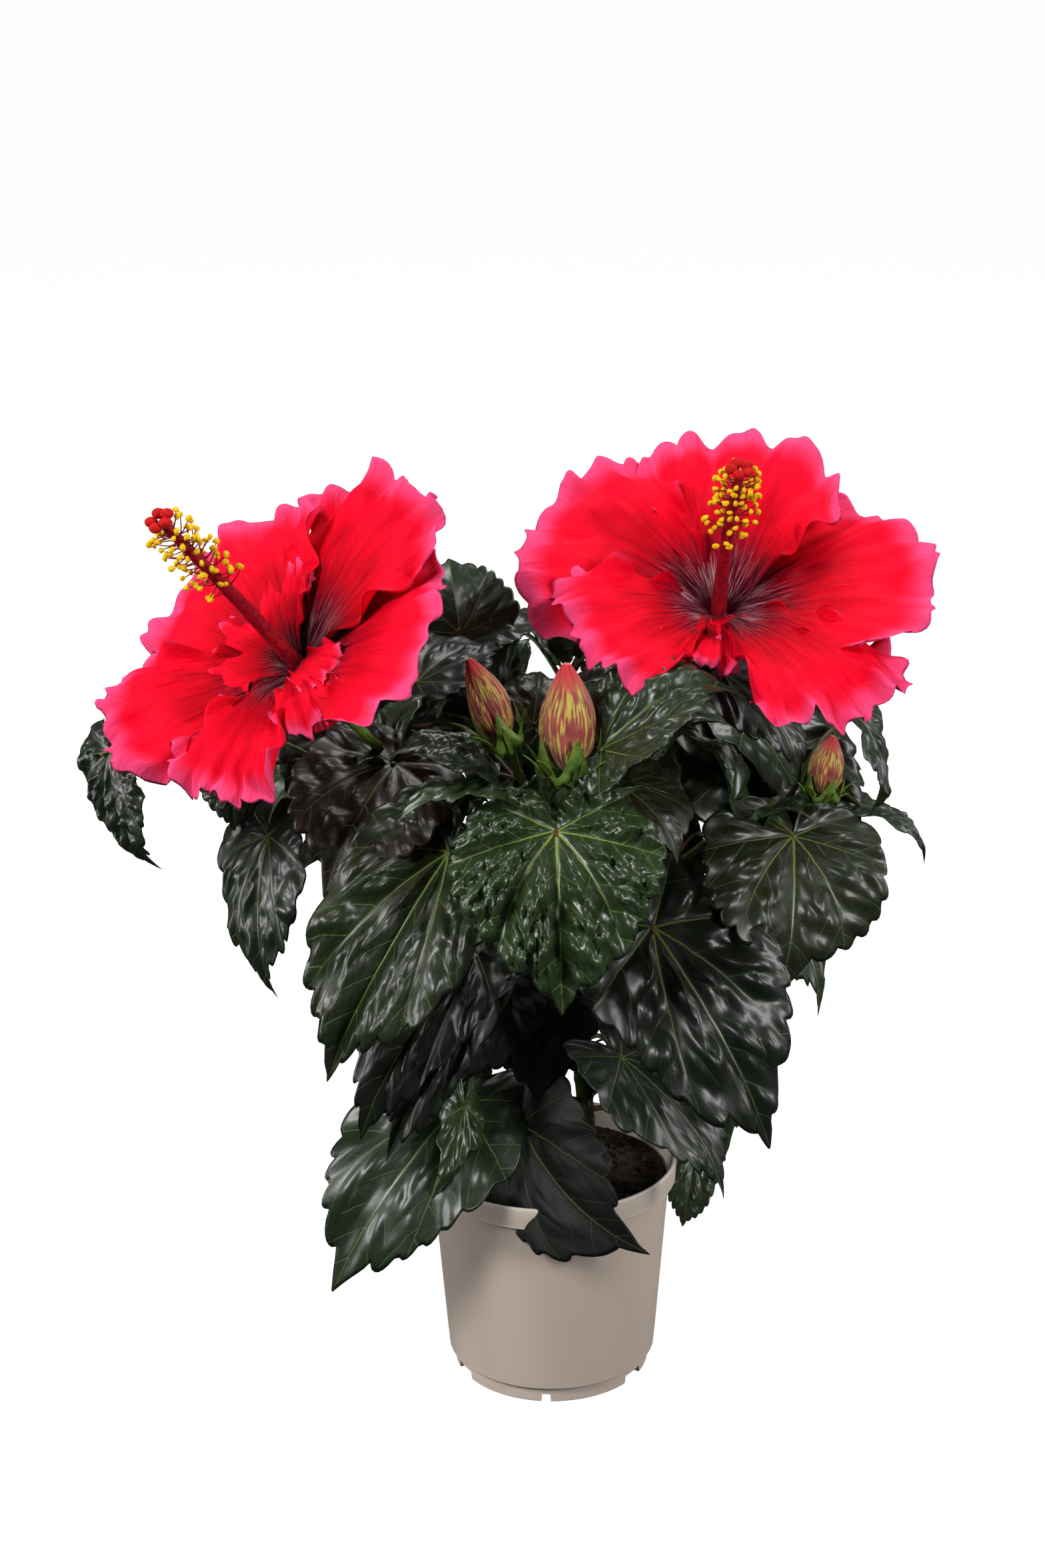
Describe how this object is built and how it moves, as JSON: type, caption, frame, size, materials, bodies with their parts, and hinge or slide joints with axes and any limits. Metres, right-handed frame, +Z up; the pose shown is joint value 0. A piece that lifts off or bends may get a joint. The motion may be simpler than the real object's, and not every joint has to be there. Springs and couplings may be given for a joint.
{
  "type": "hibiscus shrub in a pot",
  "caption": "Bushy flowering shrub with large ruffled blooms and drooping heart-shaped leaves, growing in a round tapered nursery pot that stands on its flat underside.",
  "frame": {"origin": "centre of the pot's flat underside", "axes": "+Z up through the middle of the pot, -Y towards the plant's front, +X to the right seen from the front"},
  "size_m": [0.3926, 0.3097, 0.4526],
  "materials": {
    "pot_plastic": "matte taupe grey moulded plastic",
    "compost": "dark crumbly peat compost",
    "bark": "thin tan bark with lighter flecks",
    "green_stem": "satin green young wood",
    "foliage": "glossy quilted dark green leaf with yellow-green veins",
    "petals": "silky red petal with pink ruffled margin and dark throat",
    "column": "red staminal column with yellow anthers",
    "bud": "furled red and yellow bud in a green calyx"
  },
  "bodies": {
    "root": {"pot": "pot_plastic", "compost": "compost", "stem_right": "bark", "stem_left": "bark", "stem_back": "bark", "bough_bloom_left": "green_stem", "bough_bloom_right": "green_stem", "bough_buds": "green_stem", "bough_bud_left": "green_stem", "bough_right": "green_stem", "bough_left": "green_stem", "bough_back_left": "green_stem", "bough_back_right": "green_stem", "bough_back_top": "green_stem", "bough_top": "green_stem", "bough_low_left": "green_stem", "bough_low_right": "green_stem", "bough_side_left": "green_stem", "bough_side_right": "green_stem", "bloom_left": "petals", "bloom_right": "petals", "column_left": "column", "column_right": "column", "bud_middle": "bud", "bud_left": "bud", "bud_right": "bud", "leaves_front": "foliage", "leaves_front_right": "foliage", "leaves_low_right": "foliage", "leaves_right": "foliage", "leaves_bloom_right": "foliage", "leaves_top": "foliage", "leaves_centre": "foliage", "leaves_left": "foliage", "leaves_outer_left": "foliage", "leaves_middle": "foliage", "leaves_low_left": "foliage", "leaves_low_front": "foliage", "leaves_back_left": "foliage", "leaves_back_right": "foliage", "leaves_back_top": "foliage", "leaves_back_low_left": "foliage", "leaves_back_low_right": "foliage", "leaves_side_left": "foliage", "leaves_side_right": "foliage"}
  },
  "joints": []
}
